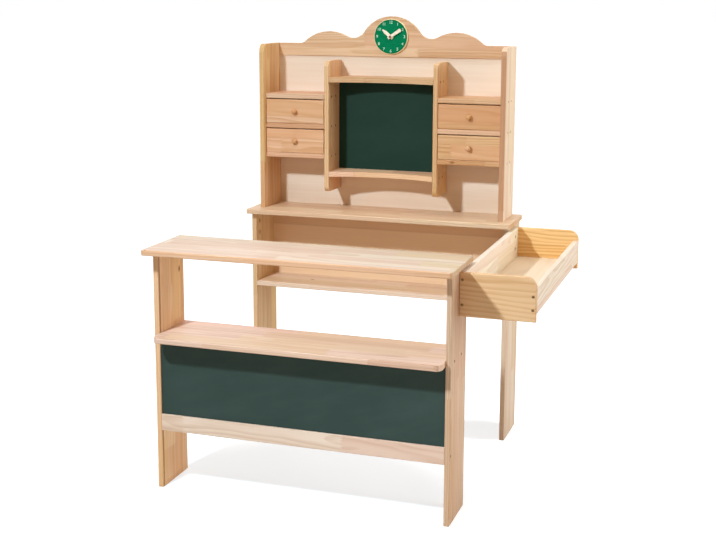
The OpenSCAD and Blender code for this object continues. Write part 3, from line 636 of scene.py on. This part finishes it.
def nut_tree(name, sizes):
    """A hexagon nut with chamfered corners at every point."""
    base, given = points_tree(name, sizes)
    corner = given["Corner Radius"]
    thick = given["Thickness"]
    block = base.node("GeometryNodeMeshCylinder", None, {"Vertices": 6, "Radius": corner, "Depth": thick})
    chamfer_share = 0.985
    sockets = {"Segments": 36, "Rings": 30, "Radius": corner * chamfer_share}
    ball = base.node("GeometryNodeMeshUVSphere", None, sockets)
    sockets = {"Vertices": 28, "Radius": given["Bore"], "Depth": thick * 2.0}
    bore = base.node("GeometryNodeMeshCylinder", None, sockets)
    block = carved(base, "INTERSECT", block, ball)
    block = carved(base, "DIFFERENCE", block, bore)
    return at_points(base, given, moved(base, block, thick * -0.5))


def ends(node, pick):
    """The outer end of every solid of a CAD node along its longest or shortest axis, and the way it faces."""
    work = bmesh.new()
    work.from_mesh(nodes[node].data)
    same_place = 1e-6
    bmesh.ops.remove_doubles(work, verts=work.verts, dist=same_place)
    waiting = set(work.verts)
    found = []
    while waiting:
        island = [waiting.pop()]
        for vert in island:
            for edge in vert.link_edges:
                other = edge.other_vert(vert)
                if other in waiting:
                    waiting.discard(other)
                    island.append(other)
        low = Vector([min(vert.co[i] for vert in island) for i in range(3)])
        high = Vector([max(vert.co[i] for vert in island) for i in range(3)])
        middle = (low + high) / 2
        size = high - low
        axis = pick(range(3), key=lambda i: size[i])
        flat = Vector([0.0 if i == axis else 1.0 for i in range(3)])
        widest = max(island, key=lambda vert: ((vert.co - middle) * flat).length)
        end = middle.copy()
        end[axis] = widest.co[axis]
        found.append((end, (end - middle).normalized()))
    work.free()
    found.sort(key=lambda pair: tuple(round(part, 4) for part in pair[0]))
    return found


def fasten(node, tree, values, pick):
    """Puts the tree's fastener in the place of every solid of a CAD node."""
    places = ends(node, pick)
    mesh = bpy.data.meshes.new(node + "_detail")
    mesh.from_pydata([place for place, way in places], [], [])
    facing = mesh.attributes.new("facing", "FLOAT_VECTOR", "POINT")
    for item, (place, way) in zip(facing.data, places):
        item.vector = way
    piece = bpy.data.objects.new(node + "_detail", mesh)
    bpy.context.collection.objects.link(piece)
    modifier = piece.modifiers.new("fasteners", "NODES")
    modifier.node_group = tree
    for item in tree.interface.items_tree:
        if item.in_out == "INPUT" and item.name in values:
            modifier[item.identifier] = values[item.name]
    graph = bpy.context.evaluated_depsgraph_get()
    made = bpy.data.meshes.new_from_object(piece.evaluated_get(graph), depsgraph=graph)
    piece.modifiers.clear()
    piece.data = made
    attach(piece, "stall")
    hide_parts(node)


screw_sizes = {
    "Head Radius": 0.0035,
    "Head Depth": 0.002,
    "Shank Radius": 0.00175,
    "Length": 0.040,
    "Tip": 0.006,
    "Pitch": 0.0018,
}
bolt_sizes = {
    "Head Radius": 0.0055,
    "Head Depth": 0.003,
    "Shank Radius": 0.003,
    "Length": 0.035,
    "Tip": 0.001,
    "Pitch": 0.0012,
}
nut_sizes = {"Corner Radius": 0.00577, "Thickness": 0.005, "Bore": 0.0031}
screw_tree = fastener_tree("wood_screw", screw_sizes, hexagon=False)
bolt_tree = fastener_tree("socket_bolt", bolt_sizes, hexagon=True)
# The yellow plating in two copies: darkened with painted shade for the counter, base and hutch screws,
# lightened with painted light for the tray screws
screw_painted_shade = metal("zinc_screws_painted_shade", linear(88, 62, 38), linear(54, 38, 24), 0.35)
tray_screw_painted_light = metal("zinc_tray_screws_painted_light", linear(176, 142, 98), linear(124, 94, 62), 0.35)
zinc_bolt = metal("zinc_bolts", linear(196, 188, 172), linear(150, 142, 126), 0.3)
for seed, screws in enumerate(("counter_screws", "base_screws", "hutch_screws"), start=3):
    fasten(screws, screw_tree, {"Finish": screw_painted_shade, "Seed": seed}, max)
fasten("tray_screws", screw_tree, {"Finish": tray_screw_painted_light, "Seed": 6}, max)
fasten("tray_bolts", bolt_tree, {"Finish": zinc_bolt}, max)
fasten("tray_nuts", nut_tree("chamfered_nut", nut_sizes), {"Finish": zinc_bolt}, min)
board("dowels", "Z", "Y", (223, 182, 143), stave_w=2.0, stave_l=9.0)

# Studio
# A white floor with a small lamp to the upper left in front, broad fills overhead, on the right and
# behind, and warm light all round. Only the camera sees the floor's own white, which is held back in
# two ovals, under the counter and between the right legs, so that the stall's shadow shows there.

floor_mesh = bpy.data.meshes.new("studio_floor")
far = 60
corners = [(-far, -far, 0), (far, -far, 0), (far, far, 0), (-far, far, 0)]
floor_mesh.from_pydata(corners, [], [(0, 1, 2, 3)])
floor = bpy.data.objects.new("studio_floor", floor_mesh)
bpy.context.collection.objects.link(floor)
matt = {"Roughness": 1.0, "Specular_IOR_Level": 0.0}
floor_material, floor_base, floor_shader, floor_axes = new_material("studio_white", **matt)
seen = floor_base.node("LightPath", out="Is Camera Ray")
scuff = floor_base.noise(floor_axes["X"] * 3.0, floor_axes["Y"] * 3.0, 0.0)
clean = (0.80, 0.80, 0.80, 1.0)
scuffed = (0.74, 0.74, 0.74, 1.0)
cool_shade = (0.37, 0.42, 0.49, 1.0)
lit = floor_base.mix(scuff * 0.05, clean, scuffed)
feed(floor_shader, "Base Color", floor_base.mix(seen, lit, cool_shade))


def outside_oval(x, y, half_w, half_d, soft_to):
    """0 well inside an oval on the floor, 1 outside it."""
    across = (floor_axes["X"] - x) / half_w
    deep = (floor_axes["Y"] - y) / half_d
    return (across * across + deep * deep).math("SQRT").step(0.70, soft_to)


past_counter = outside_oval(x=-0.12, y=-0.28, half_w=0.47, half_d=0.40, soft_to=1.25)
past_legs = outside_oval(x=0.21, y=0.32, half_w=0.11, half_d=0.10, soft_to=1.10)
held_back = 0.34
bright = seen * ((1.0 - held_back) + held_back * past_counter * past_legs)
white = (1.0, 1.0, 1.0, 1.0)
glow = floor_base.node("Emission", None, {"Color": white, "Strength": bright})
both = floor_base.node("AddShader", None, {0: Shade(floor_base.tree, floor_shader.outputs[0]), 1: glow})
floor_base.tree.links.new(both.socket, floor_base.tree.nodes["Material Output"].inputs["Surface"])
floor_mesh.materials.append(floor_material)

world = bpy.data.worlds.new("studio")
bpy.context.scene.world = world
world.use_nodes = True
sky = Shade(world.node_tree)
sees_white = sky.node("LightPath", out="Is Camera Ray")
for ray in ("Is Glossy Ray", "Is Transmission Ray"):
    sees_white = sees_white.math("MAXIMUM", sky.node("LightPath", out=ray))
backdrop = world.node_tree.nodes["Background"]
warm = (1.0, 0.72, 0.44, 1.0)
warm_strength = 0.34
feed(backdrop, "Color", sky.mix(sees_white, warm, white))
feed(backdrop, "Strength", sees_white * (1.0 - warm_strength) + warm_strength)


def lamp(name, place, target, size, watts, colour):
    """A square lamp, so wide each way, that points at its target."""
    data = bpy.data.lights.new(name, "AREA")
    data.shape = "SQUARE"
    data.size = size
    data.energy = watts
    data.color = colour
    hung = bpy.data.objects.new(name, data)
    bpy.context.collection.objects.link(hung)
    hung.location = place
    hung.rotation_euler = (Vector(target) - Vector(place)).to_track_quat("-Z", "Y").to_euler()
    return data


key = lamp(
    "key_lamp", place=(-0.71, -1.5, 1.83), target=(0.35, -0.3, 0.1),
    size=0.13, watts=10.8, colour=(0.74, 0.89, 1.0),
)
key.spread = math.radians(125)
key.use_nodes = True
fade = Shade(key.node_tree).node("LightFalloff", None, {"Strength": 1.0}, out="Linear")
feed(key.node_tree.nodes["Emission"], "Strength", fade)
lamp(
    "overhead", place=(0.2, -0.1, 2.8), target=(0.1, 0.0, 0.6),
    size=1.6, watts=16.0, colour=(1.0, 0.97, 0.90),
)
lamp(
    "right_fill", place=(3.2, 0.6, 1.5), target=(0.0, 0.0, 0.6),
    size=2.0, watts=60.0, colour=(0.93, 0.98, 1.0),
)
lamp(
    "back_fill", place=(-0.8, 2.8, 3.2), target=(0.0, 0.4, 0.7),
    size=2.0, watts=40.0, colour=(0.94, 0.97, 1.0),
)

# Camera
# It looks down a little from the right of the counter's middle, as the photographer stood. The small
# shift keeps the upright lines as the photograph has them.

photo_w = 716
photo_h = 540
focal_px = 1247.8
axis_row = 220
sensor_mm = 36.0
camera_place = (0.9699, -3.0445, 1.2279)
camera_turn = 0.3243
camera_dip = 0.1774
camera_tilt = 0.0031
camera_data = bpy.data.cameras.new("camera")
camera_data.sensor_fit = "HORIZONTAL"
camera_data.sensor_width = sensor_mm
camera_data.lens = focal_px / photo_w * sensor_mm
camera_data.shift_y = (axis_row - photo_h / 2) / photo_w
camera = bpy.data.objects.new("camera", camera_data)
bpy.context.collection.objects.link(camera)
yaw = Matrix.Rotation(camera_turn, 4, "Z")
pitch = Matrix.Rotation(math.pi / 2 - camera_dip, 4, "X")
roll = Matrix.Rotation(camera_tilt, 4, "Z")
camera.matrix_world = Matrix.Translation(camera_place) @ yaw @ pitch @ roll
bpy.context.scene.camera = camera
bpy.context.scene.view_settings.view_transform = "Standard"
